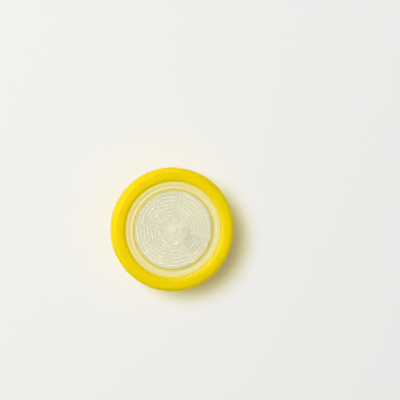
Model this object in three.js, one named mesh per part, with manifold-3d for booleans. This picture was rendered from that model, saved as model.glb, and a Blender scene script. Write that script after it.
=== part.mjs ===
// A disposable syringe filter, 33 mm across: two translucent polypropylene housings clamp a white
// membrane disc, and an overmoulded yellow ring holds them together. Liquid enters at the female
// luer-lock hub, spreads along radial ribs, passes the membrane, gathers between concentric ribs
// and leaves through the male luer nozzle.
//
// Units are millimetres. +Z runs along the filter's axis, from the inlet hub to the outlet nozzle.
// The origin is the centre of the hub's end face, on which the filter stands.

import * as THREE from "three";
import { mergeVertices } from "three/addons/utils/BufferGeometryUtils.js";
import Module from "manifold-3d";

const wasm = await Module();
wasm.setup();

// ---------------------------------------------------------------------------------------------
// Driving dimensions
// ---------------------------------------------------------------------------------------------

const AROUND = 64; // facets in a full turn, a multiple of the 8 sectors

// Overmoulded ring
const RING_DIAMETER = 33;
const RING_HEIGHT = 5.3;
const RING_WALL_HEIGHT = 2.84; // upright outer wall between the two rounded faces
const RING_LEDGE = 0.35; // ledge at the top and bottom of that wall
const RING_EDGE_CHAMFER = 0.12;
const RING_WALL = 1.9; // from the outer wall to the flanges inside
const OUTLET_LIP_WIDTH = 3.6; // from the outer wall to the opening on the outlet side
const INLET_LIP_WIDTH = 4.25;
const CROWN_FULLNESS = 3; // of a rounded face: 2 is an ellipse, and more is squarer
const CROWN_STEPS = 6; // facets on each half of a rounded face

// Housing plates, their flanges and the chamber between them
const PLATE_THICKNESS = 1.0;
const FLANGE_THICKNESS = 1.15; // of each housing, under the ring's lips
const WELD_WIDTH = 2.35; // band where the two flanges meet, outside the membrane
const PINCH_WIDTH = 1.3; // band where the flanges pinch the membrane
const MEMBRANE_THICKNESS = 0.2;
const INLET_CHAMBER_DEPTH = 0.45;
const OUTLET_CHAMBER_DEPTH = 0.5;
const RIM_GROOVE_INSET = 0.3; // from the chamber's wall to the groove round each plate's face
const RIM_GROOVE_WIDTH = 0.7;
const RIM_GROOVE_DEPTH = 0.22;
const PORT_DIAMETER = 1.6; // hole through each plate

// Radial ribs of the inlet housing
const RAY_SECTORS = 8; // one long rib at the start of each sector
const SHORT_RAYS = 2; // shorter ribs inside each sector
const LONG_RAY_START_RADIUS = 3.6;
const SHORT_RAY_START_RADIUS = 6.2;
const RAY_ROOT_WIDTH = 0.55;
const RAY_CREST_WIDTH = 0.4;
const RAY_CLEARANCE = 0.1; // from a rib's crest to the membrane
const RAY_END_GAP = 0.5; // from a rib's outer end to the chamber's wall

// Concentric ribs of the outlet housing, as many as the chamber holds
const FIRST_RIB_RADIUS = 3.87;
const RIB_PITCH = 0.97;
const RIB_ROOT_WIDTH = 0.52;
const RIB_CREST_WIDTH = 0.36;
const RIM_CHANNEL_WIDTH = 0.6; // least room between the last rib and the chamber's wall
const CHANNELS = 8; // radial channels that cut the ribs
const CHANNEL_WIDTH = 1.0;
const RIB_FACET = 1.4; // longest facet along a rib

// Female luer-lock hub
const HUB_LENGTH = 8.5; // from its end to the face of the inlet plate
const SOCKET_MOUTH_DIAMETER = 4.29;
const SOCKET_FLOOR = 1.7; // from the socket's floor to the chamber
const LUER_TAPER = 0.06; // change of diameter for each millimetre of length
const MOUTH_CHAMFER = 0.2;
const HUB_WALL = 0.955; // at the hub's end
const HUB_DRAFT = 0.25; // how much wider the hub's radius is at its root
const HUB_FILLET = 0.6;
const LUG_DIAMETER = 7.8;
const LUGS = 2;
const LUG_ARC = 110; // degrees
const LUG_LEAD = 5; // rise of the screw in a full turn
const LUG_ROOT_THICKNESS = 1.2;
const LUG_CREST_THICKNESS = 0.5;
const LUG_SETBACK = 0.15; // from the hub's end to the lug's lowest corner
const LUG_STEPS = 9;

// Male luer nozzle
const NOZZLE_LENGTH = 10.35; // from the face of the outlet plate to its tip
const NOZZLE_TIP_DIAMETER = 3.95;
const TIP_CHAMFER = 0.2;
const NOZZLE_BORE_TIP_DIAMETER = 2.2;
const BOSS_STEP = 0.8; // how far the boss at the nozzle's root stands out
const BOSS_HEIGHT = 1.3;
const BOSS_CHAMFER = 0.3;

// Fits
const OVERMOULD_GAP = 0.05; // across the ring's upright walls inside, bonded in the real filter
const MEMBRANE_GAP = 0.15; // from the membrane's edge to its recess
const ROOT_OVERLAP = 0.3; // how far a rib or lug reaches into the body that carries it

// ---------------------------------------------------------------------------------------------
// Levels and radii that follow
// ---------------------------------------------------------------------------------------------

const INLET_FACE_Z = HUB_LENGTH;
const INLET_FLOOR_Z = INLET_FACE_Z + PLATE_THICKNESS;
const MEMBRANE_BOTTOM_Z = INLET_FLOOR_Z + INLET_CHAMBER_DEPTH;
const MEMBRANE_TOP_Z = MEMBRANE_BOTTOM_Z + MEMBRANE_THICKNESS;
const SPLIT_Z = (MEMBRANE_BOTTOM_Z + MEMBRANE_TOP_Z) / 2; // where the two flanges meet
const OUTLET_CEILING_Z = MEMBRANE_TOP_Z + OUTLET_CHAMBER_DEPTH;
const OUTLET_FACE_Z = OUTLET_CEILING_Z + PLATE_THICKNESS;
const TIP_Z = OUTLET_FACE_Z + NOZZLE_LENGTH;
const FLANGE_BOTTOM_Z = SPLIT_Z - FLANGE_THICKNESS;
const FLANGE_TOP_Z = SPLIT_Z + FLANGE_THICKNESS;

const RING_RADIUS = RING_DIAMETER / 2;
const OUTLET_OPENING_RADIUS = RING_RADIUS - OUTLET_LIP_WIDTH;
const INLET_OPENING_RADIUS = RING_RADIUS - INLET_LIP_WIDTH;
const FLANGE_RADIUS = RING_RADIUS - RING_WALL;
const RECESS_RADIUS = FLANGE_RADIUS - WELD_WIDTH;
const MEMBRANE_RADIUS = RECESS_RADIUS - MEMBRANE_GAP;
const CHAMBER_RADIUS = MEMBRANE_RADIUS - PINCH_WIDTH;
const PORT_RADIUS = PORT_DIAMETER / 2;
const SOCKET_RADIUS = SOCKET_MOUTH_DIAMETER / 2;
const HUB_END_RADIUS = SOCKET_RADIUS + HUB_WALL;

// ---------------------------------------------------------------------------------------------
// Helpers
// ---------------------------------------------------------------------------------------------

const radians = THREE.MathUtils.degToRad;

// A closed three.js geometry as a solid that can be joined and cut.
function solidOf(geometry) {
  geometry.deleteAttribute("normal");
  geometry.deleteAttribute("uv");
  const merged = mergeVertices(geometry, 1e-4);
  return new wasm.Manifold(
    new wasm.Mesh({
      numProp: 3,
      vertProperties: merged.attributes.position.array,
      triVerts: new Uint32Array(merged.index.array),
    }),
  );
}

// The named mesh of a solid, with its own material.
function meshOf(name, solid, finish) {
  const { vertProperties, triVerts } = solid.getMesh();
  const geometry = new THREE.BufferGeometry();
  geometry.setAttribute("position", new THREE.BufferAttribute(vertProperties, 3));
  geometry.setIndex(new THREE.BufferAttribute(triVerts, 1));
  geometry.computeVertexNormals();
  const mesh = new THREE.Mesh(geometry, new THREE.MeshStandardMaterial(finish));
  mesh.name = name;
  return mesh;
}

// A closed [radius, z] outline, listed anticlockwise, turned about the Z axis.
function turned(outline) {
  const profile = [...outline, outline[0]].map(([radius, z]) => new THREE.Vector2(radius, z));
  const geometry = new THREE.LatheGeometry(profile, AROUND);
  return solidOf(geometry.rotateX(Math.PI / 2));
}

// Points on a quarter of a superellipse about [radius, z], from one angle to another in degrees.
// Its reach and rise go as the cosine and sine of the angle, each raised to 2 / fullness.
function quarterTurn(radius, z, reach, rise, from, to, fullness = 2) {
  const shaped = (value) => Math.sign(value) * Math.abs(value) ** (2 / fullness);
  return Array.from({ length: CROWN_STEPS + 1 }, (_, i) => {
    const angle = radians(from + ((to - from) * i) / CROWN_STEPS);
    return [radius + reach * shaped(Math.cos(angle)), z + rise * shaped(Math.sin(angle))];
  });
}

// A rib's section as [x, z] points: wide where it stands on its plate, narrower at its crest.
function ribSection(centre, rootZ, crestZ, rootWidth, crestWidth) {
  const sunkZ = rootZ - ROOT_OVERLAP * Math.sign(crestZ - rootZ);
  return new THREE.Shape([
    new THREE.Vector2(centre - rootWidth / 2, sunkZ),
    new THREE.Vector2(centre + rootWidth / 2, sunkZ),
    new THREE.Vector2(centre + rootWidth / 2, rootZ),
    new THREE.Vector2(centre + crestWidth / 2, crestZ),
    new THREE.Vector2(centre - crestWidth / 2, crestZ),
    new THREE.Vector2(centre - rootWidth / 2, rootZ),
  ]);
}

// A straight bar of one section, from one radius out to another at an angle in degrees.
function radialBar(section, angle, innerRadius, outerRadius) {
  const depth = outerRadius - innerRadius;
  const geometry = new THREE.ExtrudeGeometry(section, { depth, bevelEnabled: false });
  geometry.translate(0, 0, innerRadius);
  geometry.rotateX(Math.PI / 2); // now it points along -Y
  return solidOf(geometry.rotateZ(radians(angle + 90)));
}

// A bar whose section is carried round the Z axis, the section's x being the radius. It starts at
// one angle, runs through an arc in degrees, and rises by lead in a full turn.
function wrappedBar(section, startAngle, arc, steps, lead = 0) {
  const geometry = new THREE.ExtrudeGeometry(section, { depth: 1, steps, bevelEnabled: false });
  const position = geometry.attributes.position;
  for (let i = 0; i < position.count; i++) {
    const share = 1 - position.getZ(i); // counted from the far end, so that faces stay outwards
    const angle = radians(startAngle + arc * share);
    const radius = position.getX(i);
    const z = position.getY(i) + (lead * arc * share) / 360;
    position.setXYZ(i, radius * Math.cos(angle), radius * Math.sin(angle), z);
  }
  return solidOf(geometry);
}

// The groove round a plate's face as outline points, from its outer edge inwards. It is sunk from
// faceZ towards the inside of the filter.
function rimGroove(faceZ, inward) {
  const inner = CHAMBER_RADIUS + RIM_GROOVE_INSET;
  const outer = inner + RIM_GROOVE_WIDTH;
  const floorZ = faceZ + inward * RIM_GROOVE_DEPTH;
  return [
    [outer, faceZ],
    [outer, floorZ],
    [inner, floorZ],
    [inner, faceZ],
  ];
}

// ---------------------------------------------------------------------------------------------
// Inlet housing: plate, luer-lock hub and radial ribs
// ---------------------------------------------------------------------------------------------

function inletHousing() {
  const socketDepth = INLET_FLOOR_Z - SOCKET_FLOOR;
  const socketFloorRadius = SOCKET_RADIUS - (LUER_TAPER / 2) * socketDepth;
  const filletRadius = HUB_END_RADIUS + HUB_DRAFT + HUB_FILLET;
  const filletZ = INLET_FACE_Z - HUB_FILLET;
  const lipRadius = INLET_OPENING_RADIUS - OVERMOULD_GAP;
  let housing = turned([
    [SOCKET_RADIUS + MOUTH_CHAMFER, 0],
    [HUB_END_RADIUS, 0],
    ...quarterTurn(filletRadius, filletZ, HUB_FILLET, HUB_FILLET, 180, 90),
    ...rimGroove(INLET_FACE_Z, 1).reverse(),
    [lipRadius, INLET_FACE_Z],
    [lipRadius, FLANGE_BOTTOM_Z],
    [FLANGE_RADIUS, FLANGE_BOTTOM_Z],
    [FLANGE_RADIUS, SPLIT_Z],
    [RECESS_RADIUS, SPLIT_Z],
    [RECESS_RADIUS, MEMBRANE_BOTTOM_Z],
    [CHAMBER_RADIUS, MEMBRANE_BOTTOM_Z],
    [CHAMBER_RADIUS, INLET_FLOOR_Z],
    [PORT_RADIUS, INLET_FLOOR_Z],
    [PORT_RADIUS, socketDepth],
    [socketFloorRadius, socketDepth],
    [SOCKET_RADIUS, MOUTH_CHAMFER],
  ]);
  for (const rib of [...radialRibs(), ...luerLugs()]) housing = housing.add(rib);
  return housing;
}

// Long ribs divide the plate into sectors, and each sector holds evenly spaced shorter ones.
function radialRibs() {
  const crestZ = MEMBRANE_BOTTOM_Z - RAY_CLEARANCE;
  const section = ribSection(0, INLET_FLOOR_Z, crestZ, RAY_ROOT_WIDTH, RAY_CREST_WIDTH);
  const endRadius = CHAMBER_RADIUS - RAY_END_GAP;
  const ribs = RAY_SECTORS * (SHORT_RAYS + 1);
  return Array.from({ length: ribs }, (_, i) => {
    const isLong = i % (SHORT_RAYS + 1) === 0;
    const startRadius = isLong ? LONG_RAY_START_RADIUS : SHORT_RAY_START_RADIUS;
    return radialBar(section, (360 * i) / ribs, startRadius, endRadius);
  });
}

// Screw lugs at the hub's end, each a short stretch of right-handed thread.
function luerLugs() {
  const lugRadius = LUG_DIAMETER / 2;
  const slope = (LUG_ROOT_THICKNESS - LUG_CREST_THICKNESS) / 2;
  const topZ = LUG_SETBACK + LUG_ROOT_THICKNESS;
  const section = new THREE.Shape([
    new THREE.Vector2(HUB_END_RADIUS - ROOT_OVERLAP, LUG_SETBACK),
    new THREE.Vector2(HUB_END_RADIUS, LUG_SETBACK),
    new THREE.Vector2(lugRadius, LUG_SETBACK + slope),
    new THREE.Vector2(lugRadius, topZ - slope),
    new THREE.Vector2(HUB_END_RADIUS, topZ),
    new THREE.Vector2(HUB_END_RADIUS - ROOT_OVERLAP, topZ),
  ]);
  return Array.from({ length: LUGS }, (_, i) =>
    wrappedBar(section, (360 * i) / LUGS, LUG_ARC, LUG_STEPS, LUG_LEAD),
  );
}

// ---------------------------------------------------------------------------------------------
// Outlet housing: plate, male luer nozzle and concentric ribs
// ---------------------------------------------------------------------------------------------

function outletHousing() {
  const lipRadius = OUTLET_OPENING_RADIUS - OVERMOULD_GAP;
  const tipRadius = NOZZLE_TIP_DIAMETER / 2;
  const nozzleRadius = (z) => tipRadius + (LUER_TAPER / 2) * (TIP_Z - z);
  const bossRadius = nozzleRadius(OUTLET_FACE_Z) + BOSS_STEP;
  const bossTopZ = OUTLET_FACE_Z + BOSS_HEIGHT;
  let housing = turned([
    [PORT_RADIUS, OUTLET_CEILING_Z],
    [CHAMBER_RADIUS, OUTLET_CEILING_Z],
    [CHAMBER_RADIUS, MEMBRANE_TOP_Z],
    [RECESS_RADIUS, MEMBRANE_TOP_Z],
    [RECESS_RADIUS, SPLIT_Z],
    [FLANGE_RADIUS, SPLIT_Z],
    [FLANGE_RADIUS, FLANGE_TOP_Z],
    [lipRadius, FLANGE_TOP_Z],
    [lipRadius, OUTLET_FACE_Z],
    ...rimGroove(OUTLET_FACE_Z, -1),
    [bossRadius, OUTLET_FACE_Z],
    [bossRadius, bossTopZ - BOSS_CHAMFER],
    [bossRadius - BOSS_CHAMFER, bossTopZ],
    [nozzleRadius(bossTopZ), bossTopZ],
    [tipRadius, TIP_Z - TIP_CHAMFER],
    [tipRadius - TIP_CHAMFER, TIP_Z],
    [NOZZLE_BORE_TIP_DIAMETER / 2, TIP_Z],
  ]);
  for (const rib of concentricRibs()) housing = housing.add(rib);
  return housing;
}

// Rings of rib that reach the membrane, each broken by the radial channels.
function concentricRibs() {
  const ribs = [];
  const lastRadius = CHAMBER_RADIUS - RIM_CHANNEL_WIDTH - RIB_ROOT_WIDTH / 2;
  for (let radius = FIRST_RIB_RADIUS; radius < lastRadius; radius += RIB_PITCH) {
    const section = ribSection(
      radius,
      OUTLET_CEILING_Z,
      MEMBRANE_TOP_Z,
      RIB_ROOT_WIDTH,
      RIB_CREST_WIDTH,
    );
    const channelAngle = 2 * THREE.MathUtils.radToDeg(Math.asin(CHANNEL_WIDTH / 2 / radius));
    const arc = 360 / CHANNELS - channelAngle;
    const steps = Math.ceil((radians(arc) * radius) / RIB_FACET);
    for (let sector = 0; sector < CHANNELS; sector++) {
      const start = (360 * sector) / CHANNELS + channelAngle / 2;
      ribs.push(wrappedBar(section, start, arc, steps));
    }
  }
  return ribs;
}

// ---------------------------------------------------------------------------------------------
// Membrane and overmoulded ring
// ---------------------------------------------------------------------------------------------

function membrane() {
  const disc = new THREE.CylinderGeometry(
    MEMBRANE_RADIUS,
    MEMBRANE_RADIUS,
    MEMBRANE_THICKNESS,
    AROUND,
  );
  disc.rotateX(Math.PI / 2);
  return solidOf(disc.translate(0, 0, SPLIT_Z));
}

// A C-shaped section: it grips both flanges, and its lips stand proud of the plates as rounded
// faces. A ledge at each edge of the upright wall marks where the mould's halves met the collar.
function overmouldRing() {
  const wallTopZ = SPLIT_Z + RING_WALL_HEIGHT / 2;
  const wallBottomZ = SPLIT_Z - RING_WALL_HEIGHT / 2;
  const crownRise = (RING_HEIGHT - RING_WALL_HEIGHT) / 2;
  const crownOuter = RING_RADIUS - RING_LEDGE;
  const edge = RING_RADIUS - RING_EDGE_CHAMFER;
  const cavityRadius = FLANGE_RADIUS + OVERMOULD_GAP;
  const roundedFace = (openingRadius, z, from) => {
    const centre = (openingRadius + crownOuter) / 2;
    const reach = crownOuter - centre;
    const half = (start) => quarterTurn(centre, z, reach, crownRise, start, start + 90, CROWN_FULLNESS);
    return [...half(from), ...half(from + 90).slice(1)];
  };
  return turned([
    ...roundedFace(INLET_OPENING_RADIUS, wallBottomZ, 180),
    [edge, wallBottomZ],
    [RING_RADIUS, wallBottomZ + RING_EDGE_CHAMFER],
    [RING_RADIUS, wallTopZ - RING_EDGE_CHAMFER],
    [edge, wallTopZ],
    ...roundedFace(OUTLET_OPENING_RADIUS, wallTopZ, 0),
    [OUTLET_OPENING_RADIUS, FLANGE_TOP_Z],
    [cavityRadius, FLANGE_TOP_Z],
    [cavityRadius, FLANGE_BOTTOM_Z],
    [INLET_OPENING_RADIUS, FLANGE_BOTTOM_Z],
  ]);
}

// ---------------------------------------------------------------------------------------------
// Assembly
// ---------------------------------------------------------------------------------------------

const NATURAL_PP = { color: "#e6e3cc", roughness: 0.32, metalness: 0, transparent: true, opacity: 0.6 };
const YELLOW_PP = { color: "#f4d400", roughness: 0.3, metalness: 0 };
const MEMBRANE_WHITE = { color: "#f4f2ea", roughness: 0.9, metalness: 0 };

const filter = new THREE.Group();
filter.name = "syringe_filter";
filter.add(
  meshOf("inlet_housing", inletHousing(), NATURAL_PP),
  meshOf("outlet_housing", outletHousing(), NATURAL_PP),
  meshOf("membrane", membrane(), MEMBRANE_WHITE),
  meshOf("overmould_ring", overmouldRing(), YELLOW_PP),
);

export default filter;
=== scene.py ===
"""A disposable syringe filter, drawn for Blender 4.5 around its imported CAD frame.

Two translucent polypropylene mouldings hold a white membrane between their ribs, and a yellow
overmoulded ring grips them both. The filter stands on the end of its inlet hub, outlet nozzle up.
Everything is in metres, +Z along the filter's axis.
"""

import math

import bpy
import numpy as np
from bpy.props import FloatProperty, FloatVectorProperty, PointerProperty
from mathutils import Matrix, Vector


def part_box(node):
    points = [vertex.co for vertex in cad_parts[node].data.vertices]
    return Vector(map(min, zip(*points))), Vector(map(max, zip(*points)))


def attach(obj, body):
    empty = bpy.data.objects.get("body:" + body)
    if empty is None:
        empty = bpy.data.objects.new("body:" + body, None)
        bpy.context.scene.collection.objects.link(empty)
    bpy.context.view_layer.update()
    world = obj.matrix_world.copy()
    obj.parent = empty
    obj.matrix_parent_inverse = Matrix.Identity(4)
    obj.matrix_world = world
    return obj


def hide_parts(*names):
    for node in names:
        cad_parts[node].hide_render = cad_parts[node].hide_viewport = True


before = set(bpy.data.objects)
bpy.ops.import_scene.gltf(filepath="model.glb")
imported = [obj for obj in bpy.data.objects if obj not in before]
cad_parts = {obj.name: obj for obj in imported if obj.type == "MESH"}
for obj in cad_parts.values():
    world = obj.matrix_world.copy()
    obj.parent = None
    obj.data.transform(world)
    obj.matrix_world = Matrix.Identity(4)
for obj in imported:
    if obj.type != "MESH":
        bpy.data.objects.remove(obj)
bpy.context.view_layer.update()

bl_info = {
    "name": "Syringe filter",
    "version": (1, 0, 0),
    "blender": (4, 5, 0),
    "location": "3D View > Sidebar > Syringe filter",
    "description": "Makes the mouldings, membrane and stage of a disposable syringe filter",
    "category": "Add Mesh",
}

MM = 0.001
BODY = "root"

RING_LOW, RING_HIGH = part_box("overmould_ring")
_, INLET_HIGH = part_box("inlet_housing")
_, OUTLET_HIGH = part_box("outlet_housing")
MEMBRANE_LOW, MEMBRANE_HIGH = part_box("membrane")

RING_RADIUS = RING_HIGH[0]
FLANGE_RADIUS = INLET_HIGH[0]
SPLIT_Z = INLET_HIGH[2]
TIP_Z = OUTLET_HIGH[2]
MEMBRANE_RADIUS = MEMBRANE_HIGH[0]
PINCH_BOTTOM_Z = MEMBRANE_LOW[2]
PINCH_TOP_Z = MEMBRANE_HIGH[2]

LUER_TAPER = 0.06  # of the diameter, over the length
CHANNELS = 8  # radial, through the outlet's concentric ribs
HAIRLINE = 0.01 * MM  # kept between faces that touch, so that light crosses them in a known order
EDGE = 0.08 * MM  # rounding of the housings' small edges
CAVITY_GAP = 0.05 * MM  # between the flanges' edges and the ring round them
POLYPROPYLENE_IOR = 1.49


# ---------------------------------------------------------------------------------------------
# Colours and sizes that a user would change
# ---------------------------------------------------------------------------------------------

def linear(hex_colour):
    """An sRGB hex colour as linear red, green and blue."""
    srgb = np.array([int(hex_colour[i:i + 2], 16) for i in (1, 3, 5)]) / 255
    return tuple(np.where(srgb <= 0.04045, srgb / 12.92, ((srgb + 0.055) / 1.055) ** 2.4).tolist())


def size(name, description, millimetres):
    """A length that a user may change, with its default in millimetres."""
    return FloatProperty(
        name=name, description=description, default=millimetres * MM,
        unit="LENGTH", subtype="DISTANCE",
    )


def colour(name, description, hex_colour):
    """A colour that a user may change, with its default in sRGB hex."""
    return FloatVectorProperty(
        name=name, description=description, default=linear(hex_colour),
        subtype="COLOR", min=0, max=1,
    )


class FilterSizes(bpy.types.PropertyGroup):
    """The filter's sizes"""

    ring_wall_height: size("Ring wall height", "Upright outer wall of the ring", 2.84)
    ring_ledge: size("Ring ledge", "Ledge at each edge of the ring's wall", 0.35)
    ring_edge: size("Ring edge radius", "Rounding of the ledge's outer edge", 0.12)
    outlet_lip_width: size("Outlet lip width", "From the ring's wall to its outlet opening", 3.6)
    inlet_lip_width: size("Inlet lip width", "From the ring's wall to its inlet opening", 4.25)
    flange_thickness: size("Flange thickness", "Each housing's flange under the ring's lips", 1.15)
    plate_thickness: size("Plate thickness", "Each housing's plate over the chamber", 1.0)
    pinch_width: size("Pinch width", "Band where the flanges pinch the membrane", 1.3)
    recess_gap: size("Recess gap", "From the membrane's edge to its recess", 0.15)
    outlet_chamber_depth: size("Outlet chamber depth", "Height of the concentric ribs", 0.5)
    chamber_bevel: size("Chamber bevel", "Bevel between a chamber's wall and its plate", 0.1)
    groove_inset: size("Groove inset", "From the chamber's wall to the groove on the face", 0.3)
    groove_width: size("Groove width", "Groove round the face of each plate", 0.7)
    groove_depth: size("Groove depth", "Groove round the face of each plate", 0.22)
    port_diameter: size("Port diameter", "Hole through each plate", 1.6)
    first_rib_radius: size("First rib radius", "Smallest concentric rib", 3.87)
    rib_pitch: size("Rib pitch", "From one concentric rib to the next", 0.97)
    rib_root: size("Rib root width", "Width of a concentric rib at its plate", 0.52)
    rib_crest: size("Rib crest width", "Width of a concentric rib at the membrane", 0.36)
    channel_width: size("Channel width", "Radial gaps between the concentric ribs", 1.0)
    ray_root: size("Ray root width", "Width of a radial rib at its plate", 0.55)
    ray_crest: size("Ray crest width", "Width of a radial rib near the membrane", 0.4)
    ray_clearance: size("Ray clearance", "From a radial rib's crest to the membrane", 0.1)
    long_ray_start: size("Long ray start", "Radius at which the long radial ribs start", 3.6)
    short_ray_start: size("Short ray start", "Radius at which the short radial ribs start", 6.2)
    ray_end_gap: size("Ray end gap", "From a radial rib's end to the chamber's wall", 0.5)
    hub_length: size("Hub length", "From the inlet hub's end to the plate's face", 8.5)
    hub_wall: size("Hub wall", "Wall of the hub at its end", 0.955)
    hub_draft: size("Hub draft", "How much the hub's radius grows to its root", 0.25)
    hub_fillet: size("Hub fillet", "Rounding where the hub meets its plate", 0.6)
    socket_mouth: size("Socket mouth diameter", "Female luer socket at its mouth", 4.29)
    socket_floor: size("Socket floor", "From the socket's floor to the chamber", 1.7)
    lug_diameter: size("Lug diameter", "Across the two screw lugs", 7.8)
    lug_root: size("Lug root thickness", "Along the axis, at the hub", 1.2)
    lug_crest: size("Lug crest thickness", "Along the axis, at the crest", 0.5)
    lug_lead: size("Lug lead", "Rise of the lugs' screw in a full turn", 5.0)
    lug_setback: size("Lug setback", "From the hub's end to the lugs", 0.15)
    tip_diameter: size("Nozzle tip diameter", "Male luer nozzle at its tip", 3.95)
    tip_edge: size("Nozzle tip edge", "Rounding of the nozzle's tip", 0.2)
    bore_diameter: size("Nozzle bore diameter", "Bore of the nozzle at its tip", 2.2)
    boss_step: size("Boss step", "How far the boss at the nozzle's root stands out", 0.8)
    boss_height: size("Boss height", "Boss at the nozzle's root", 1.3)


class FilterColours(bpy.types.PropertyGroup):
    """The colours of the filter and its table"""

    ring: colour("Ring", "Yellow polypropylene of the overmoulded ring", "#E2CD00")
    ring_deep: colour("Ring, deep", "The ring where it is thick", "#DAC500")
    # painted glow, standing in for light that comes through the ring's thin lips
    ring_edge: colour("Ring edge", "The ring's thin lips, where the housing shows", "#ECE660")
    ring_glow: colour("Ring glow", "Light that comes out of the ring's far side", "#6C6700")
    ring_light: colour("Ring, light", "Lamps' light after one wall of the ring", "#E7E268")
    housing: colour("Housing", "Natural polypropylene", "#E9E8D4")
    # painted shade: the housing darker over the air gaps between the ribs
    housing_gap_shade: colour("Housing, gap", "The housing over an air gap", "#B8B794")
    # partly thicker plastic, partly painted shade along the hub and nozzle
    housing_thick_shade: colour("Housing, thick", "The housing along its hub and nozzle", "#C2C0AA")
    # the next three are painted light: the ring's yellow light carried into the clear housing
    # round its rim, and reflected at the chamber's edge
    housing_rim_ring_light: colour("Housing rim", "The housing with the ring's colour in it", "#EAE0A6")
    housing_weld_ring_light: colour("Housing weld", "The housing under the ring's lip", "#E8DE58")
    housing_line_ring_reflection: colour("Housing line", "Ring's colour piped to the chamber's edge", "#DECC54")
    housing_light: colour("Housing, light", "Lamps' light after a wall of the housing", "#E2E2E2")
    rim_light: colour("Housing rim, light", "Lamps' light after the housing's rim", "#EAE2B0")
    membrane: colour("Membrane", "White filter membrane", "#F1EFE2")
    membrane_light: colour("Membrane, light", "Lamps' light after a membrane face", "#B4A000")
    floor: colour("Floor", "Table top", "#EFEFED")


# ---------------------------------------------------------------------------------------------
# Outlines: points on a section, as arrays of radius and height
# ---------------------------------------------------------------------------------------------

def filleted(corners, spacing=0.12 * MM, turn=12):
    """An open line through corners of (radius, height, fillet).

    At each inner corner an arc touches both straight runs; its centre lies on their bisector at
    fillet / sin(half the angle between them). Straight runs are divided to the spacing, and arcs
    to the turn in degrees.
    """
    points = np.array([c[:2] for c in corners])
    pieces = [points[:1]]
    for before, here, after, (_, _, radius) in zip(points, points[1:], points[2:], corners[1:]):
        back = (before - here) / np.linalg.norm(before - here)
        ahead = (after - here) / np.linalg.norm(after - here)
        half = math.acos(np.clip(back @ ahead, -1, 1)) / 2
        if radius == 0 or half > math.pi / 2 - 1e-3:
            pieces.append(here[None])
            continue
        bisector = (back + ahead) / np.linalg.norm(back + ahead)
        centre = here + bisector * radius / math.sin(half)
        start = here + back * radius / math.tan(half) - centre
        end = here + ahead * radius / math.tan(half) - centre
        sweep = math.pi - 2 * half
        share = np.linspace(0, 1, max(2, math.ceil(math.degrees(sweep) / turn) + 1))[:, None]
        arc = np.sin((1 - share) * sweep) * start + np.sin(share * sweep) * end
        pieces.append(centre + arc / math.sin(sweep))
    pieces.append(points[-1:])
    line = np.concatenate(pieces)
    runs = [line[:1]]
    for a, b in zip(line, line[1:]):
        steps = max(1, math.ceil(np.linalg.norm(b - a) / spacing))
        runs.append(a + (b - a) * (np.arange(1, steps + 1) / steps)[:, None])
    return np.concatenate(runs)


def smooth_step(low, high, value):
    """0 below low, 1 above high, and 3t² - 2t³ between them."""
    t = np.clip((value - low) / (high - low), 0, 1)
    return t * t * (3 - 2 * t)


def column_angles(radii, sectors, offsets, fill):
    """The angles of a turned grid's columns, one row for each radius.

    Near the middle line of each of the equal sectors the columns run parallel to it, at the given
    offsets; the rest of the sector is shared out evenly in angle. Close to the axis the offsets
    shrink with the radius, so that they still fit the sector.
    """
    half = math.pi / sectors
    most = math.sin(0.85 * half)  # of the radius, which leaves room for the columns in between
    fitted = offsets * np.minimum(1, radii[:, None] * most / offsets[-1])
    near = np.arcsin(fitted / radii[:, None])
    share = np.arange(1, fill + 1) / fill
    far = near[:, -1:] + (half - near[:, -1:]) * share
    upper = np.concatenate([near, far], axis=1)
    sector = np.concatenate([-upper[:, :0:-1], upper[:, :-1]], axis=1)
    starts = np.arange(sectors) * 2 * half
    return (starts[None, :, None] + sector[:, None, :]).reshape(len(radii), -1)


def even_angles(count):
    """The angles of evenly spaced columns, all the way round."""
    return np.arange(count) * 2 * math.pi / count


def chamber_radius(sizes):
    """The radius of the chamber on each side of the membrane, inside the pinched band."""
    return MEMBRANE_RADIUS - sizes.pinch_width


def groove_radii(sizes):
    """The inner and outer radius of the groove round the face of each plate."""
    inner = chamber_radius(sizes) + sizes.groove_inset
    return inner, inner + sizes.groove_width


# ---------------------------------------------------------------------------------------------
# Meshes
# ---------------------------------------------------------------------------------------------

def new_mesh(name, vertices, faces, material):
    """A smooth-shaded object at the origin from an array of vertices and a list of faces."""
    mesh = bpy.data.meshes.new(name)
    mesh.from_pydata(vertices.tolist(), [], faces)
    mesh.validate()
    mesh.polygons.foreach_set("use_smooth", np.ones(len(mesh.polygons), dtype=bool))
    mesh.materials.append(material)
    mesh.update()
    made = bpy.data.objects.new(name, mesh)
    bpy.context.scene.collection.objects.link(made)
    return made


def turned(name, radii, heights, angles, material):
    """A closed surface of revolution with a hole along its axis.

    Row i and column j of the grid lie at (radius cos angle, radius sin angle, height), and both
    directions of the grid close on themselves. An outline listed anticlockwise, with the radius
    to the right and the height upwards, gives faces that point outwards.
    """
    radii, heights, angles = np.broadcast_arrays(radii, heights, angles)
    rows, columns = radii.shape
    grid = np.stack([radii * np.cos(angles), radii * np.sin(angles), heights], axis=-1)
    index = np.arange(rows * columns).reshape(rows, columns)
    up = np.roll(index, -1, axis=0)
    faces = np.stack([index, np.roll(index, -1, axis=1), np.roll(up, -1, axis=1), up], axis=-1)
    return new_mesh(name, grid.reshape(-1, 3), faces.reshape(-1, 4).tolist(), material)


def keep(piece, node):
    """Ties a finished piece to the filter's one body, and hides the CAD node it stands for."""
    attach(piece, BODY)
    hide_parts(node)


# ---------------------------------------------------------------------------------------------
# Materials
# ---------------------------------------------------------------------------------------------

WHITE = (1.0, 1.0, 1.0, 1.0)
EASED = {"interpolation_type": "SMOOTHSTEP"}  # a Map Range that goes as 3t² - 2t³


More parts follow.
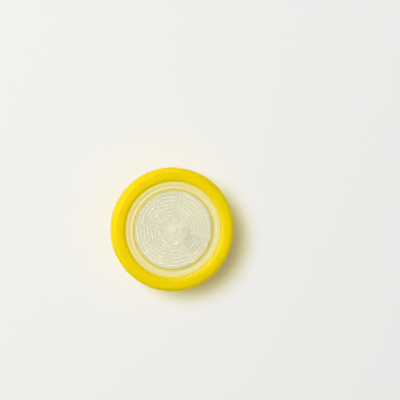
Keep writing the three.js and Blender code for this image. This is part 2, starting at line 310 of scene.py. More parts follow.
def add(tree, kind, inputs, **settings):
    """A node with its settings; each input is a socket to link or a value to set."""
    made = tree.nodes.new(kind)
    for name, value in settings.items():
        setattr(made, name, value)
    for socket, value in inputs.items():
        if isinstance(value, bpy.types.NodeSocket):
            tree.links.new(value, made.inputs[socket])
        else:
            made.inputs[socket].default_value = value
    return made


def new_material(name):
    """An empty node material: its tree, its output node and the object coordinates."""
    material = bpy.data.materials.new(name)
    material.use_nodes = True
    tree = material.node_tree
    tree.nodes.clear()
    output = add(tree, "ShaderNodeOutputMaterial", {})
    place = add(tree, "ShaderNodeTexCoord", {}).outputs["Object"]
    return material, tree, output, place


def opaque(rgb):
    """A linear colour with the alpha of 1 that colour sockets ask for."""
    return (*rgb, 1.0)


def axis_distance(tree, place):
    """A socket with a place's distance from the filter's axis."""
    flat = add(tree, "ShaderNodeVectorMath", {0: place, 1: (1, 1, 0)}, operation="MULTIPLY")
    length = add(tree, "ShaderNodeVectorMath", {0: flat.outputs[0]}, operation="LENGTH")
    return length.outputs["Value"]


def let_lamps_through(tree, surface, colour):
    """A surface that tints the lamps' light instead of stopping it."""
    clear = add(tree, "ShaderNodeBsdfTransparent", {"Color": colour})
    lamp_ray = add(tree, "ShaderNodeLightPath", {}).outputs["Is Shadow Ray"]
    return add(tree, "ShaderNodeMixShader", {
        0: lamp_ray, 1: surface, 2: clear.outputs[0],
    }).outputs[0]


def overmoulded_yellow_polypropylene(colours, sizes):
    """Polypropylene coloured in the mass and moulded in a polished tool: an even, soft gloss with
    a faint waviness, and a little depth, so that edges glow and thick places turn golden. Towards
    its openings a painted glow lightens it, standing in for light and the housing's cream coming
    through the thin lips. Some of the lamps' light gets through it, so its shadow is yellow."""
    flow_size, grain_size, lip_glow_fade = 6 * MM, 0.35 * MM, 0.3 * MM
    material, tree, output, place = new_material("overmoulded yellow polypropylene")
    flow = add(tree, "ShaderNodeTexNoise", {
        "Vector": place, "Scale": 1 / flow_size, "Detail": 3.0,
    })
    tint = add(tree, "ShaderNodeMix", {
        0: flow.outputs[0], 6: opaque(colours.ring), 7: opaque(colours.ring_deep),
    }, data_type="RGBA").outputs[2]
    radius = axis_distance(tree, place)
    lip = add(tree, "ShaderNodeMapRange", {
        0: add(tree, "ShaderNodeSeparateXYZ", {0: place}).outputs["Z"],
        1: SPLIT_Z - HAIRLINE, 2: SPLIT_Z + HAIRLINE,
        3: RING_RADIUS - sizes.inlet_lip_width, 4: RING_RADIUS - sizes.outlet_lip_width,
    }).outputs[0]
    from_lip = add(tree, "ShaderNodeMath", {0: radius, 1: lip}, operation="SUBTRACT").outputs[0]
    # painted glow: lighter towards the lip's opening, standing in for light that comes through the
    # thin lips
    lip_glow = add(tree, "ShaderNodeMapRange", {
        0: from_lip, 1: 0, 2: lip_glow_fade, 3: 0.65, 4: 0,
    }, **EASED)
    tint = add(tree, "ShaderNodeMix", {
        0: lip_glow.outputs[0], 6: tint, 7: opaque(colours.ring_edge),
    }, data_type="RGBA").outputs[2]
    grain = add(tree, "ShaderNodeTexNoise", {
        "Vector": place, "Scale": 1 / grain_size, "Detail": 2.0,
    })
    gloss = add(tree, "ShaderNodeMapRange", {0: grain.outputs[0], 3: 0.34, 4: 0.46})
    bump = add(tree, "ShaderNodeBump", {
        "Height": grain.outputs[0], "Strength": 0.06, "Distance": 0.02 * MM,
    })
    shader = add(tree, "ShaderNodeBsdfPrincipled", {
        "Base Color": tint,
        "Roughness": gloss.outputs[0],
        "IOR": POLYPROPYLENE_IOR,
        "Specular IOR Level": 0.05,
        "Subsurface Weight": 0.6,
        "Subsurface Radius": (1.0, 0.8, 0.05),
        "Subsurface Scale": 2.5 * MM,
        "Normal": bump.outputs[0],
    })
    glow = add(tree, "ShaderNodeBsdfTranslucent", {"Color": opaque(colours.ring_glow)})
    body = add(tree, "ShaderNodeAddShader", {0: shader.outputs[0], 1: glow.outputs[0]})
    surface = let_lamps_through(tree, body.outputs[0], opaque(colours.ring_light))
    tree.links.new(surface, output.inputs["Surface"])
    return material


def moulded_natural_polypropylene(colours, sizes):
    """Uncoloured polypropylene from a polished tool: it lets most light through, slightly hazed.
    Round its rim the yellow light that the ring sends into it is painted on as colour, and where
    an air gap parts it from the membrane it is painted darker, as shade, than where its ribs
    touch.
    Along the hub and the nozzle it is painted darker too: partly its thickness, partly painted
    shade that offsets the lamps' light, which it dims less there."""
    material, tree, output, place = new_material("moulded natural polypropylene")
    haze_size = 1.5 * MM
    hub_start = 1.65 * MM  # off the split, just past each plate's outer face
    hub_full = 2.5 * MM
    chamber = chamber_radius(sizes)
    half_channel = sizes.channel_width / 2

    radius = axis_distance(tree, place)
    share = add(tree, "ShaderNodeMath", {0: radius, 1: RING_RADIUS}, operation="DIVIDE").outputs[0]
    housing_and_ring_light_ramp = add(tree, "ShaderNodeValToRGB", {0: share})
    # painted light: the ring's yellow light in the clear housing's rim, and its reflection at the
    # chamber's edge
    stops = (  # millimetres out from the chamber's wall
        (-0.26, colours.housing),
        (-0.16, colours.housing_line_ring_reflection),
        (0.08, colours.housing_line_ring_reflection),
        (0.20, colours.housing_rim_ring_light),
        (1.40, colours.housing_rim_ring_light),
        (2.00, colours.housing_weld_ring_light),
    )
    elements = housing_and_ring_light_ramp.color_ramp.elements
    while len(elements) < len(stops):
        elements.new(0)
    for element, (outwards, rgb) in zip(elements, stops):
        element.position = (chamber + outwards * MM) / RING_RADIUS
        element.color = opaque(rgb)

    axes = add(tree, "ShaderNodeSeparateXYZ", {0: place}).outputs
    above = add(tree, "ShaderNodeMath", {0: axes["Z"], 1: SPLIT_Z}, operation="SUBTRACT")
    off_split = add(tree, "ShaderNodeMath", {0: above.outputs[0]}, operation="ABSOLUTE").outputs[0]
    angle = add(tree, "ShaderNodeMath", {0: axes["Y"], 1: axes["X"]}, operation="ARCTAN2")
    turn = add(tree, "ShaderNodeMath", {
        0: angle.outputs[0], 1: math.pi / CHANNELS,
    }, operation="PINGPONG")
    sine = add(tree, "ShaderNodeMath", {0: turn.outputs[0]}, operation="SINE")
    off_channel = add(tree, "ShaderNodeMath", {
        0: sine.outputs[0], 1: radius,
    }, operation="MULTIPLY").outputs[0]
    # painted shade in the air gaps: darker from the sides of the ribs to the plate behind them,
    # inside the chamber, less in the channels
    gap = 1.0
    for value, low, high, start, end in (
        (off_split, 0.25 * MM, 0.5 * MM, 0, 1),  # from the sides of the ribs
        (off_split, 0.62 * MM, 0.8 * MM, 1, 0),  # to the plate behind them,
        (radius, chamber - 0.3 * MM, chamber - 0.1 * MM, 1, 0),  # inside the chamber,
        (off_channel, half_channel - 0.1 * MM, half_channel, 0.7, 1),  # less in the channels
    ):
        factor = add(tree, "ShaderNodeMapRange", {
            0: value, 1: low, 2: high, 3: start, 4: end,
        }, **EASED)
        gap = add(tree, "ShaderNodeMath", {
            0: gap, 1: factor.outputs[0],
        }, operation="MULTIPLY").outputs[0]
    tint = add(tree, "ShaderNodeMix", {
        0: gap, 6: housing_and_ring_light_ramp.outputs[0], 7: opaque(colours.housing_gap_shade),
    }, data_type="RGBA").outputs[2]
    # painted shade, partly the thickness of the plastic: darker along the hub and nozzle,
    # offsetting the lamps' light that gets through there less dimmed
    thick = add(tree, "ShaderNodeMapRange", {
        0: off_split, 1: hub_start, 2: hub_full, 3: 0, 4: 1,
    }, **EASED)
    tint = add(tree, "ShaderNodeMix", {
        0: thick.outputs[0], 6: tint, 7: opaque(colours.housing_thick_shade),
    }, data_type="RGBA").outputs[2]

    rim = add(tree, "ShaderNodeMapRange", {
        0: radius, 1: chamber - 0.35 * MM, 2: chamber - 0.1 * MM, 3: 0, 4: 1,
    }, **EASED).outputs[0]
    inner_cover = add(tree, "ShaderNodeMapRange", {
        0: off_split, 1: 1.5 * MM, 2: hub_full, 3: 0.48, 4: 0.24,
    }, **EASED).outputs[0]
    clear = add(tree, "ShaderNodeMapRange", {0: rim, 3: 0.94, 4: 0.06})
    cover = add(tree, "ShaderNodeMapRange", {0: rim, 3: inner_cover, 4: 0.94})
    haze = add(tree, "ShaderNodeTexNoise", {
        "Vector": place, "Scale": 1 / haze_size, "Detail": 3.0,
    })
    gloss = add(tree, "ShaderNodeMapRange", {0: haze.outputs[0], 3: 0.12, 4: 0.2})
    bump = add(tree, "ShaderNodeBump", {
        "Height": haze.outputs[0], "Strength": 0.03, "Distance": 0.03 * MM,
    })
    shader = add(tree, "ShaderNodeBsdfPrincipled", {
        "Base Color": tint,
        "Roughness": gloss.outputs[0],
        "IOR": POLYPROPYLENE_IOR,
        "Specular IOR Level": 0.06,
        "Transmission Weight": clear.outputs[0],
        "Alpha": cover.outputs[0],
        "Normal": bump.outputs[0],
    })

    light = add(tree, "ShaderNodeMix", {
        0: rim, 6: opaque(colours.housing_light), 7: opaque(colours.rim_light),
    }, data_type="RGBA").outputs[2]
    undimmed = add(tree, "ShaderNodeMapRange", {
        0: off_split, 1: hub_start, 2: 1.9 * MM, 3: 0, 4: 0.75,
    }, **EASED)
    light = add(tree, "ShaderNodeMix", {
        0: undimmed.outputs[0], 6: light, 7: WHITE,
    }, data_type="RGBA").outputs[2]
    tree.links.new(let_lamps_through(tree, shader.outputs[0], light), output.inputs["Surface"])
    return material


def cast_white_membrane(colours):
    """A cast microporous film: dead matt and white. Its fleck is drawn far coarser than its real
    pores, so that it can show. The little light of the lamps that gets through it is yellow, as
    in the rest of the filter's shadow."""
    fleck_size = 0.12 * MM
    material, tree, output, place = new_material("cast white membrane")
    fleck = add(tree, "ShaderNodeTexNoise", {
        "Vector": place, "Scale": 1 / fleck_size, "Detail": 2.0,
    })
    shade = add(tree, "ShaderNodeMapRange", {0: fleck.outputs[0], 3: 0.96, 4: 1.0})
    tint = add(tree, "ShaderNodeVectorMath", {
        0: tuple(colours.membrane), "Scale": shade.outputs[0],
    }, operation="SCALE")
    shader = add(tree, "ShaderNodeBsdfPrincipled", {
        "Base Color": tint.outputs[0], "Roughness": 0.95, "Specular IOR Level": 0.2,
    })
    surface = let_lamps_through(tree, shader.outputs[0], opaque(colours.membrane_light))
    tree.links.new(surface, output.inputs["Surface"])
    return material


def housing_material(colours, sizes):
    """The one material of both housings, made when it is first asked for."""
    made = bpy.data.materials.get("moulded natural polypropylene")
    return made or moulded_natural_polypropylene(colours, sizes)


# ---------------------------------------------------------------------------------------------
# Pieces
# ---------------------------------------------------------------------------------------------

class FILTER_OT_ring(bpy.types.Operator):
    """Make the yellow overmoulded ring"""

    bl_idname = "syringe_filter.ring"
    bl_label = "Overmoulded ring"

    COLUMNS = 288
    FACE_ROWS = 49
    FULLNESS = 3.0  # of the rounded faces: 2 is an ellipse, and more is squarer

    def rounded_face(self, opening, sizes, base_z, rise, start):
        """Half a superellipse from the opening to the ledge or back: radius and height go as the
        cosine and sine of an angle, each raised to 2 / fullness."""
        outer = RING_RADIUS - sizes.ring_ledge
        angle = np.radians(start + np.linspace(0, 180, self.FACE_ROWS))
        cosine, sine = np.cos(angle), np.sin(angle)
        power = 2 / self.FULLNESS
        centre, reach = (outer + opening) / 2, (outer - opening) / 2
        radius = centre + reach * np.sign(cosine) * np.abs(cosine) ** power
        height = base_z + rise * np.sign(sine) * np.abs(sine) ** power
        return np.stack([radius, height], axis=1)

    def execute(self, context):
        """A section turned about the axis: an upright wall between two rounded faces outside, and
        inside a cavity for the flanges between two lips."""
        sizes = context.scene.filter_sizes
        outlet_opening = RING_RADIUS - sizes.outlet_lip_width
        inlet_opening = RING_RADIUS - sizes.inlet_lip_width
        wall_top = SPLIT_Z + sizes.ring_wall_height / 2
        wall_bottom = SPLIT_Z - sizes.ring_wall_height / 2
        cavity = FLANGE_RADIUS + CAVITY_GAP
        flange_top = SPLIT_Z + sizes.flange_thickness + HAIRLINE
        flange_bottom = SPLIT_Z - sizes.flange_thickness - HAIRLINE
        ledge = RING_RADIUS - sizes.ring_ledge
        wall = filleted([
            (ledge, wall_bottom, 0),
            (RING_RADIUS, wall_bottom, sizes.ring_edge),
            (RING_RADIUS, wall_top, sizes.ring_edge),
            (ledge, wall_top, 0),
        ])
        inside = filleted([
            (outlet_opening, wall_top, 0),
            (outlet_opening, flange_top, 0),
            (cavity, flange_top, 0),
            (cavity, flange_bottom, 0),
            (inlet_opening, flange_bottom, 0),
            (inlet_opening, wall_bottom, 0),
        ], spacing=0.5 * MM)
        inlet_face = self.rounded_face(
            inlet_opening, sizes, wall_bottom, wall_bottom - RING_LOW[2], 180)
        outlet_face = self.rounded_face(
            outlet_opening, sizes, wall_top, RING_HIGH[2] - wall_top, 0)
        outline = np.concatenate([inlet_face[:-1], wall, outlet_face[1:], inside[1:-1]])
        radii, heights = outline[:, :1], outline[:, 1:]
        material = overmoulded_yellow_polypropylene(context.scene.filter_colours, sizes)
        ring = turned("ring_moulding", radii, heights, even_angles(self.COLUMNS), material)
        keep(ring, "overmould_ring")
        return {"FINISHED"}


class FILTER_OT_inlet(bpy.types.Operator):
    """Make the inlet housing with its luer-lock hub and radial ribs"""

    bl_idname = "syringe_filter.inlet"
    bl_label = "Inlet housing"

    RAYS = 24
    RAYS_PER_SECTOR = 3  # one long and two short
    LUGS = 2
    LUG_ARC = math.radians(110)
    LUG_FADE = math.radians(7)  # over which a lug's ends rise
    LUG_ROWS = 0.06 * MM  # the grid's step along the axis at the lugs
    MOUTH_EDGE = 0.2 * MM  # rounding of the socket's mouth
    INNER_ROWS = np.array([0.3, 0.22, 0.16, 0.1, 0.05, 0, -0.1]) * MM  # from a rib's inner end
    OUTER_ROWS = np.array([0.04, 0.08, 0.12, 0.16, 0.22, 0.3]) * MM  # from its outer end
    OFFSETS = np.array([0, 0.15, 0.2, 0.225, 0.25, 0.28, 0.36]) * MM  # columns beside a rib

    def ray_height(self, radii, angles, sizes):
        """1 on a radial rib's crest and 0 off it. A rib is the set of points near a line that
        starts at its own radius and ends short of the chamber's wall, so its ends are round."""
        pitch = 2 * math.pi / self.RAYS
        number = np.round(angles / pitch)
        off = angles - number * pitch
        is_long = np.mod(number, self.RAYS_PER_SECTOR) == 0
        half = sizes.ray_root / 2
        start = np.where(is_long, sizes.long_ray_start, sizes.short_ray_start) + half
        end = chamber_radius(sizes) - sizes.ray_end_gap - half
        along, across = radii * np.cos(off), radii * np.sin(off)
        past = np.maximum(0, start - along) + np.maximum(0, along - end)
        return 1 - smooth_step(sizes.ray_crest / 2, half, np.hypot(past, across))

    def lug_height(self, heights, angles, sizes):
        """1 on a lug's crest and 0 off it. A lug's section is a trapezium along the axis whose
        middle climbs with the angle by the lead in a full turn."""
        turn = np.mod(angles, 2 * math.pi / self.LUGS)
        climb = sizes.lug_lead * turn / (2 * math.pi)
        middle = sizes.lug_setback + sizes.lug_root / 2 + climb
        off = np.abs(heights - middle)
        flank = (sizes.lug_root - sizes.lug_crest) / 2
        section = 1 - np.clip((off - sizes.lug_crest / 2) / flank, 0, 1)
        rise = smooth_step(0, self.LUG_FADE, turn)
        fall = 1 - smooth_step(self.LUG_ARC - self.LUG_FADE, self.LUG_ARC, turn)
        return section * rise * fall

    def execute(self, context):
        """A section turned about the axis. On the chamber's floor the height grows by the rise of
        the ribs, and on the hub the radius grows to that of the lugs."""
        sizes = context.scene.filter_sizes
        face_z = sizes.hub_length
        floor_z = face_z + sizes.plate_thickness
        socket_z = floor_z - sizes.socket_floor
        mouth = sizes.socket_mouth / 2
        socket_end = mouth - LUER_TAPER / 2 * socket_z
        hub_end = mouth + sizes.hub_wall
        hub_root = hub_end + sizes.hub_draft
        lip = RING_RADIUS - sizes.inlet_lip_width - HAIRLINE
        flange_z = SPLIT_Z - sizes.flange_thickness
        recess = MEMBRANE_RADIUS + sizes.recess_gap
        chamber = chamber_radius(sizes)
        groove_in, groove_out = groove_radii(sizes)
        groove_z = face_z + sizes.groove_depth
        port = sizes.port_diameter / 2
        seam = mouth + 0.12 * MM  # on the hub's end face, where the outline starts and closes

        hub = filleted([
            (seam, 0, 0),
            (hub_end, 0, EDGE),
            (hub_root, face_z, sizes.hub_fillet),
            (groove_in, face_z, EDGE),
            (groove_in, groove_z, EDGE),
            (groove_out, groove_z, EDGE),
            (groove_out, face_z, EDGE),
            (lip, face_z, 0),
            (lip, flange_z, 0),
            (FLANGE_RADIUS, flange_z, EDGE),
            (FLANGE_RADIUS, SPLIT_Z - HAIRLINE, EDGE),
            (recess, SPLIT_Z - HAIRLINE, 0),
            (recess, PINCH_BOTTOM_Z - HAIRLINE, 0),
            (chamber + sizes.chamber_bevel / 2, PINCH_BOTTOM_Z - HAIRLINE, 0),
            (chamber - sizes.chamber_bevel / 2, floor_z, 0),
        ], spacing=0.5 * MM)
        lugs_z = sizes.lug_setback + sizes.lug_root + sizes.lug_lead * self.LUG_ARC / (2 * math.pi)
        in_lug_zone = (hub[:, 0] < hub_root) & (hub[:, 1] < lugs_z) & (hub[:, 1] > 0)
        first, last = np.flatnonzero(in_lug_zone)[[0, -1]]
        fine_z = np.arange(hub[first, 1], hub[last + 1, 1], self.LUG_ROWS)[1:]
        fine_r = np.interp(fine_z, hub[first:last + 2, 1], hub[first:last + 2, 0])
        fine = np.stack([fine_r, fine_z], axis=1)
        hub = np.concatenate([hub[:first + 1], fine, hub[last + 1:]])

        end = chamber - sizes.ray_end_gap
        short_start, long_start = sizes.short_ray_start, sizes.long_ray_start
        coarse = 0.5 * MM  # off the close rows at the ribs' inner ends
        floor_r = np.concatenate([
            np.linspace(chamber - sizes.chamber_bevel / 2 - 0.1 * MM, end, 4)[1:],
            end - self.OUTER_ROWS,
            np.linspace(end - 0.6 * MM, short_start + coarse, 9),
            short_start + self.INNER_ROWS,
            np.linspace(short_start - coarse, long_start + coarse, 6),
            long_start + self.INNER_ROWS,
            np.linspace(long_start - coarse, port + 0.3 * MM, 5),
        ])
        floor = np.stack([floor_r, np.full_like(floor_r, floor_z)], axis=1)
        bore = filleted([
            (port + 0.2 * MM, floor_z, 0),
            (port, floor_z, EDGE),
            (port, socket_z, EDGE),
            (socket_end, socket_z, EDGE),
            (mouth, 0, self.MOUTH_EDGE),
            (seam, 0, 0),
        ], spacing=0.5 * MM)
        outline = np.concatenate([hub, floor, bore[:-1]])
        radii, heights = outline[:, :1], outline[:, 1:]
        angles = column_angles(outline[:, 0], self.RAYS, self.OFFSETS, fill=2)
        is_floor = np.zeros(len(outline), dtype=bool)
        is_floor[len(hub):len(hub) + len(floor)] = True
        rib_rise = PINCH_BOTTOM_Z - sizes.ray_clearance - floor_z
        ribs = self.ray_height(radii, angles, sizes) * rib_rise
        heights = np.where(is_floor[:, None], floor_z + ribs, heights)
        is_hub = np.zeros(len(outline), dtype=bool)
        is_hub[first:first + 2 + len(fine)] = True
        lug_reach = sizes.lug_diameter / 2 - radii
        lugs = self.lug_height(outline[:, 1:], angles, sizes) * lug_reach
        radii = np.where(is_hub[:, None], radii + lugs, radii)
        material = housing_material(context.scene.filter_colours, sizes)
        housing = turned("inlet_moulding", radii, heights, angles, material)
        keep(housing, "inlet_housing")
        return {"FINISHED"}


class FILTER_OT_outlet(bpy.types.Operator):
    """Make the outlet housing with its luer nozzle and concentric ribs"""

    bl_idname = "syringe_filter.outlet"
    bl_label = "Outlet housing"

    WALL_GAP = 0.6 * MM  # at least, from the last rib to the chamber's wall
    GROOVE_EDGE = 0.14 * MM  # rounding of the groove's lips
    BOSS_FOOT = 0.2 * MM  # rounding where the boss meets the plate
    BOSS_EDGE = 0.3 * MM  # and round its top
    BORE_EDGE = 0.12 * MM  # and at the bore's mouth
    OFFSETS = np.array([0, 0.3, 0.46, 0.52, 0.58, 0.64, 0.7, 0.78, 0.95]) * MM  # beside a channel

    def rib_radii(self, sizes):
        """The middle radii of the concentric ribs that fit the chamber."""
        last = chamber_radius(sizes) - self.WALL_GAP - sizes.rib_root / 2
        return np.arange(sizes.first_rib_radius, last, sizes.rib_pitch)

    def rib_height(self, radii, angles, sizes):
        """1 on a concentric rib's crest and 0 off it. A rib is the set of points near a stretch of
        circle that stops short of each radial channel, so its ends are round."""
        pitch = 2 * math.pi / CHANNELS
        off = angles - np.round(angles / pitch) * pitch
        ribs = self.rib_radii(sizes)
        nearest = ribs[np.abs(radii[..., None] - ribs).argmin(axis=-1)]
        half = sizes.rib_root / 2
        past = np.maximum(0, sizes.channel_width / 2 + half - radii * np.abs(np.sin(off)))
        distance = np.hypot(past, radii - nearest)
        return 1 - smooth_step(sizes.rib_crest / 2, half, distance)

    def execute(self, context):
        """A section turned about the axis. On the chamber's ceiling the height drops to the
        membrane where the ribs are."""
        sizes = context.scene.filter_sizes
        ceiling_z = PINCH_TOP_Z + sizes.outlet_chamber_depth
        face_z = ceiling_z + sizes.plate_thickness
        boss_z = face_z + sizes.boss_height
        chamber = chamber_radius(sizes)
        recess = MEMBRANE_RADIUS + sizes.recess_gap
        flange_z = SPLIT_Z + sizes.flange_thickness
        lip = RING_RADIUS - sizes.outlet_lip_width - HAIRLINE
        groove_in, groove_out = groove_radii(sizes)
        groove_z = face_z - sizes.groove_depth
        port = sizes.port_diameter / 2
        tip = sizes.tip_diameter / 2

        def nozzle(z):
            """The tapered nozzle's radius at a height."""
            return tip + LUER_TAPER / 2 * (TIP_Z - z)

        boss = nozzle(face_z) + sizes.boss_step
        ribs = self.rib_radii(sizes)
        slope = np.linspace(sizes.rib_crest / 2 - 0.02 * MM, sizes.rib_root / 2 + 0.01 * MM, 6)
        across = np.concatenate([[0.06 * MM], slope, [sizes.rib_root / 2 + 0.06 * MM]])
        across = np.concatenate([-across[::-1], across])
        ceiling_r = np.concatenate([
            np.linspace(port + 0.3 * MM, ribs[0] - 0.5 * MM, 7),
            (ribs[:, None] + across).ravel(),
            [ribs[-1] + 0.5 * MM],
        ])
        ceiling = np.stack([ceiling_r, np.full_like(ceiling_r, ceiling_z)], axis=1)
        outside = filleted([
            (chamber - sizes.chamber_bevel / 2, ceiling_z, 0),
            (chamber + sizes.chamber_bevel / 2, PINCH_TOP_Z + HAIRLINE, 0),
            (recess, PINCH_TOP_Z + HAIRLINE, 0),
            (recess, SPLIT_Z + HAIRLINE, 0),
            (FLANGE_RADIUS, SPLIT_Z + HAIRLINE, EDGE),
            (FLANGE_RADIUS, flange_z, EDGE),
            (lip, flange_z, 0),
            (lip, face_z, 0),
            (groove_out, face_z, self.GROOVE_EDGE),
            (groove_out, groove_z, EDGE),
            (groove_in, groove_z, EDGE),
            (groove_in, face_z, self.GROOVE_EDGE),
            (boss, face_z, self.BOSS_FOOT),
            (boss, boss_z, self.BOSS_EDGE),
            (nozzle(boss_z), boss_z, self.BOSS_EDGE),
            (tip, TIP_Z, sizes.tip_edge),
            (sizes.bore_diameter / 2, TIP_Z, self.BORE_EDGE),
            (port, ceiling_z, EDGE),
            (port + 0.2 * MM, ceiling_z, 0),
        ], spacing=0.45 * MM)
        outline = np.concatenate([ceiling, outside])
        radii, heights = outline[:, :1], outline[:, 1:]
        angles = column_angles(outline[:, 0], CHANNELS, self.OFFSETS, fill=11)
        is_ceiling = (np.arange(len(outline)) < len(ceiling))[:, None]
        drop = self.rib_height(np.broadcast_to(radii, angles.shape), angles, sizes)
        heights = np.where(is_ceiling, ceiling_z - drop * (ceiling_z - PINCH_TOP_Z), heights)
        material = housing_material(context.scene.filter_colours, sizes)
        housing = turned("outlet_moulding", radii, heights, angles, material)
        keep(housing, "outlet_housing")
        return {"FINISHED"}


class FILTER_OT_membrane(bpy.types.Operator):
    """Make the membrane disc"""

    bl_idname = "syringe_filter.membrane"
    bl_label = "Membrane"

    COLUMNS = 192
    ROWS = 40  # from the middle to the edge

    def execute(self, context):
        """A flat disc: rings of points out from the middle of each face, and fans at the poles."""
        top, bottom = PINCH_TOP_Z - 2 * HAIRLINE, PINCH_BOTTOM_Z + 2 * HAIRLINE
        radii = np.linspace(0, MEMBRANE_RADIUS, self.ROWS)[1:]
        outline = np.concatenate([
            np.stack([radii, np.full_like(radii, bottom)], axis=1),
            np.stack([radii[::-1], np.full_like(radii, top)], axis=1),
        ])
        angles = even_angles(self.COLUMNS)
        rows = len(outline)
        rings = np.stack([
            outline[:, :1] * np.cos(angles),
            outline[:, :1] * np.sin(angles),
            np.broadcast_to(outline[:, 1:], (rows, self.COLUMNS)),
        ], axis=-1).reshape(-1, 3)
        index = np.arange(rows * self.COLUMNS).reshape(rows, self.COLUMNS)
        beside = np.roll(index, -1, axis=1)
        walls = np.stack([index[:-1], beside[:-1], beside[1:], index[1:]], axis=-1).reshape(-1, 4)
        low, high = len(rings), len(rings) + 1
        fan_low = np.stack([beside[0], index[0], np.full(self.COLUMNS, low)], axis=-1)
        fan_high = np.stack([index[-1], beside[-1], np.full(self.COLUMNS, high)], axis=-1)
        vertices = np.concatenate([rings, [[0, 0, bottom], [0, 0, top]]])
        faces = walls.tolist() + fan_low.tolist() + fan_high.tolist()
        material = cast_white_membrane(context.scene.filter_colours)
        keep(new_mesh("membrane_disc", vertices, faces, material), "membrane")
        return {"FINISHED"}


# ---------------------------------------------------------------------------------------------
# Stage
# ---------------------------------------------------------------------------------------------

def screen_axes(azimuth, tilt, lean):
    """The camera's right, up and backward vectors, in the filter's frame.

    It looks at the filter from a direction tilted off the axis, on the side given by the azimuth.
    It is rolled so that the nozzle leans towards the lean angle, counted anticlockwise from right.
    """
    side = Vector((math.cos(azimuth), math.sin(azimuth), 0))
    back = (side * math.sin(tilt) + Vector((0, 0, math.cos(tilt)))).normalized()
    leaning = (Vector((0, 0, 1)) - back * back.z).normalized()
    across = leaning.cross(back)
    right = across * math.sin(lean) + leaning * math.cos(lean)
    up = leaning * math.sin(lean) - across * math.cos(lean)
    return right, up, back


def seen_rays(tree):
    """1 for rays from the camera and for mirrored and bent ones, which show the backdrop, and 0
    for rays that have met a matt surface, which carry light."""
    path = add(tree, "ShaderNodeLightPath", {})
    mirrored = add(tree, "ShaderNodeMath", {
        0: path.outputs["Is Camera Ray"], 1: path.outputs["Is Glossy Ray"],
    }, operation="MAXIMUM")
    seen = add(tree, "ShaderNodeMath", {
        0: mirrored.outputs[0], 1: path.outputs["Is Transmission Ray"],
    }, operation="MAXIMUM")
    unscattered = add(tree, "ShaderNodeMath", {
        0: path.outputs["Diffuse Depth"], 1: 0.5,
    }, operation="LESS_THAN")
    return add(tree, "ShaderNodeMath", {
        0: seen.outputs[0], 1: unscattered.outputs[0],
    }, operation="MULTIPLY").outputs[0]


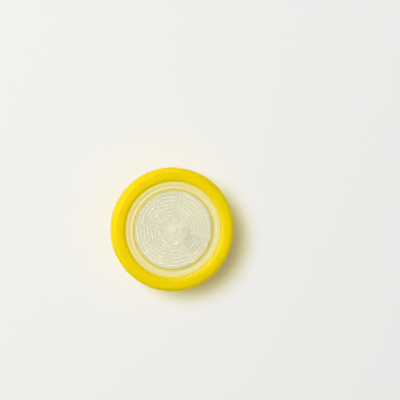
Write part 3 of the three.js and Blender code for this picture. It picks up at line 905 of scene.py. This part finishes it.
class FILTER_OT_stage(bpy.types.Operator):
    """Make the floor, the lamps, the world and the camera"""

    bl_idname = "syringe_filter.stage"
    bl_label = "Stage"

    LENS = 100.0  # millimetres, as the sensor
    SENSOR = 36.0
    CENTRE = (-0.069, -0.0732)  # the ring's, right of and above the middle, by the view's width
    RING_SHARE = 0.3088  # of the view's width that the ring spans
    TILT = math.radians(10)
    LEAN = math.radians(-27)
    AZIMUTH = math.radians(-15.6)
    FLOOR_HALF = 1.5
    FADE = (0.12, 0.45)  # distances between which the table turns into the plain backdrop
    AMBIENT = 0.22
    LAMPS = (  # each with its place to the right, up and towards the camera, width and watts
        ("key", -0.67, 0.40, 1.84, 0.72, 36.4),
        ("fill", 0.60, -0.40, 0.60, 0.60, 0.2),
    )

    def execute(self, context):
        self.floor(context)
        self.world(context)
        self.camera(context)
        self.lamps(context)
        return {"FINISHED"}

    def floor(self, context):
        """One large flat square at the height that the filter stands on."""
        corners = np.array([(-1, -1, 0), (1, -1, 0), (1, 1, 0), (-1, 1, 0)]) * self.FLOOR_HALF
        grain_size = 2 * MM
        material, tree, output, place = new_material("matt white table top")
        grain = add(tree, "ShaderNodeTexNoise", {
            "Vector": place, "Scale": 1 / grain_size, "Detail": 2.0,
        })
        bump = add(tree, "ShaderNodeBump", {
            "Height": grain.outputs[0], "Strength": 0.03, "Distance": 0.02 * MM,
        })
        shader = add(tree, "ShaderNodeBsdfPrincipled", {
            "Base Color": opaque(context.scene.filter_colours.floor),
            "Roughness": 0.7,
            "Specular IOR Level": 0.2,
            "Normal": bump.outputs[0],
        })
        away = add(tree, "ShaderNodeVectorMath", {0: place}, operation="LENGTH")
        far = add(tree, "ShaderNodeMapRange", {
            0: away.outputs["Value"], 1: self.FADE[0], 2: self.FADE[1], 3: 0, 4: 1,
        }, **EASED)
        backdrop = add(tree, "ShaderNodeMath", {
            0: far.outputs[0], 1: seen_rays(tree),
        }, operation="MULTIPLY")
        glow = add(tree, "ShaderNodeEmission", {
            "Color": opaque(context.scene.filter_colours.floor), "Strength": 1.0,
        })
        mix = add(tree, "ShaderNodeMixShader", {
            0: backdrop.outputs[0], 1: shader.outputs[0], 2: glow.outputs[0],
        })
        tree.links.new(mix.outputs[0], output.inputs["Surface"])
        new_mesh("floor", corners, [[0, 1, 2, 3]], material)

    def world(self, context):
        """Soft light from all round. The camera and mirrored or bent rays see the table's
        colour."""
        world = bpy.data.worlds.new("studio")
        context.scene.world = world
        world.use_nodes = True
        tree = world.node_tree
        tree.nodes.clear()
        light = add(tree, "ShaderNodeBackground", {"Color": WHITE, "Strength": self.AMBIENT})
        backdrop = add(tree, "ShaderNodeBackground", {
            "Color": opaque(context.scene.filter_colours.floor), "Strength": 1.0,
        })
        mix = add(tree, "ShaderNodeMixShader", {
            0: seen_rays(tree), 1: light.outputs[0], 2: backdrop.outputs[0],
        })
        output = add(tree, "ShaderNodeOutputWorld", {"Surface": mix.outputs[0]})
        output.is_active_output = True

    def camera(self, context):
        """Turns and sets back the camera so that the ring has its size and place in the view."""
        focal = self.LENS / self.SENSOR
        distance = focal * 2 * RING_RADIUS / self.RING_SHARE
        right, up, back = screen_axes(self.AZIMUTH, self.TILT, self.LEAN)
        straight = Matrix((right, up, back)).transposed()
        ray = Vector((*self.CENTRE, -focal)).normalized()
        turn = ray.rotation_difference(Vector((0, 0, -1))).to_matrix()
        target = Vector((0, 0, SPLIT_Z))
        data = bpy.data.cameras.new("camera")
        data.lens = self.LENS
        data.sensor_width = self.SENSOR
        data.clip_start = 0.005
        data.clip_end = 10
        camera = bpy.data.objects.new("camera", data)
        context.scene.collection.objects.link(camera)
        stand = Matrix.Translation(target + back * distance)
        camera.matrix_world = stand @ (straight @ turn).to_4x4()
        context.scene.camera = camera

    def lamps(self, context):
        """A broad key lamp up and to the left of the view, and a weak fill opposite. Bent rays
        don't meet the lamps, because what they would add is mostly noise."""
        right, up, back = screen_axes(self.AZIMUTH, self.TILT, self.LEAN)
        for name, aside, above, ahead, width, power in self.LAMPS:
            data = bpy.data.lights.new(name, "AREA")
            data.size = width
            data.energy = power
            lamp = bpy.data.objects.new(name, data)
            lamp.visible_transmission = False
            context.scene.collection.objects.link(lamp)
            place = right * aside + up * above + back * ahead
            aim = place.to_track_quat("Z", "Y").to_matrix().to_4x4()
            lamp.matrix_world = Matrix.Translation(place) @ aim


# ---------------------------------------------------------------------------------------------
# Add-on
# ---------------------------------------------------------------------------------------------

OPERATORS = (
    FILTER_OT_ring, FILTER_OT_inlet, FILTER_OT_outlet, FILTER_OT_membrane, FILTER_OT_stage,
)


class VIEW3D_PT_syringe_filter(bpy.types.Panel):
    """Lists the steps that make the filter, and its sizes and colours"""

    bl_label = "Syringe filter"
    bl_space_type = "VIEW_3D"
    bl_region_type = "UI"
    bl_category = "Syringe filter"

    def draw(self, context):
        layout = self.layout
        for operator in OPERATORS:
            layout.operator(operator.bl_idname)
        for group in (context.scene.filter_sizes, context.scene.filter_colours):
            box = layout.box()
            for name in group.bl_rna.properties.keys():
                if name not in {"rna_type", "name"}:
                    box.prop(group, name)


CLASSES = (FilterSizes, FilterColours, *OPERATORS, VIEW3D_PT_syringe_filter)


def register():
    for cls in CLASSES:
        bpy.utils.register_class(cls)
    bpy.types.Scene.filter_sizes = PointerProperty(type=FilterSizes)
    bpy.types.Scene.filter_colours = PointerProperty(type=FilterColours)


def unregister():
    del bpy.types.Scene.filter_colours
    del bpy.types.Scene.filter_sizes
    for cls in reversed(CLASSES):
        bpy.utils.unregister_class(cls)


def main():
    """Makes the filter and its stage."""
    register()
    bpy.context.scene.view_settings.view_transform = "Standard"
    bpy.ops.syringe_filter.ring()
    bpy.ops.syringe_filter.inlet()
    bpy.ops.syringe_filter.outlet()
    bpy.ops.syringe_filter.membrane()
    bpy.ops.syringe_filter.stage()
    bpy.context.view_layer.update()


if __name__ == "__main__":
    main()
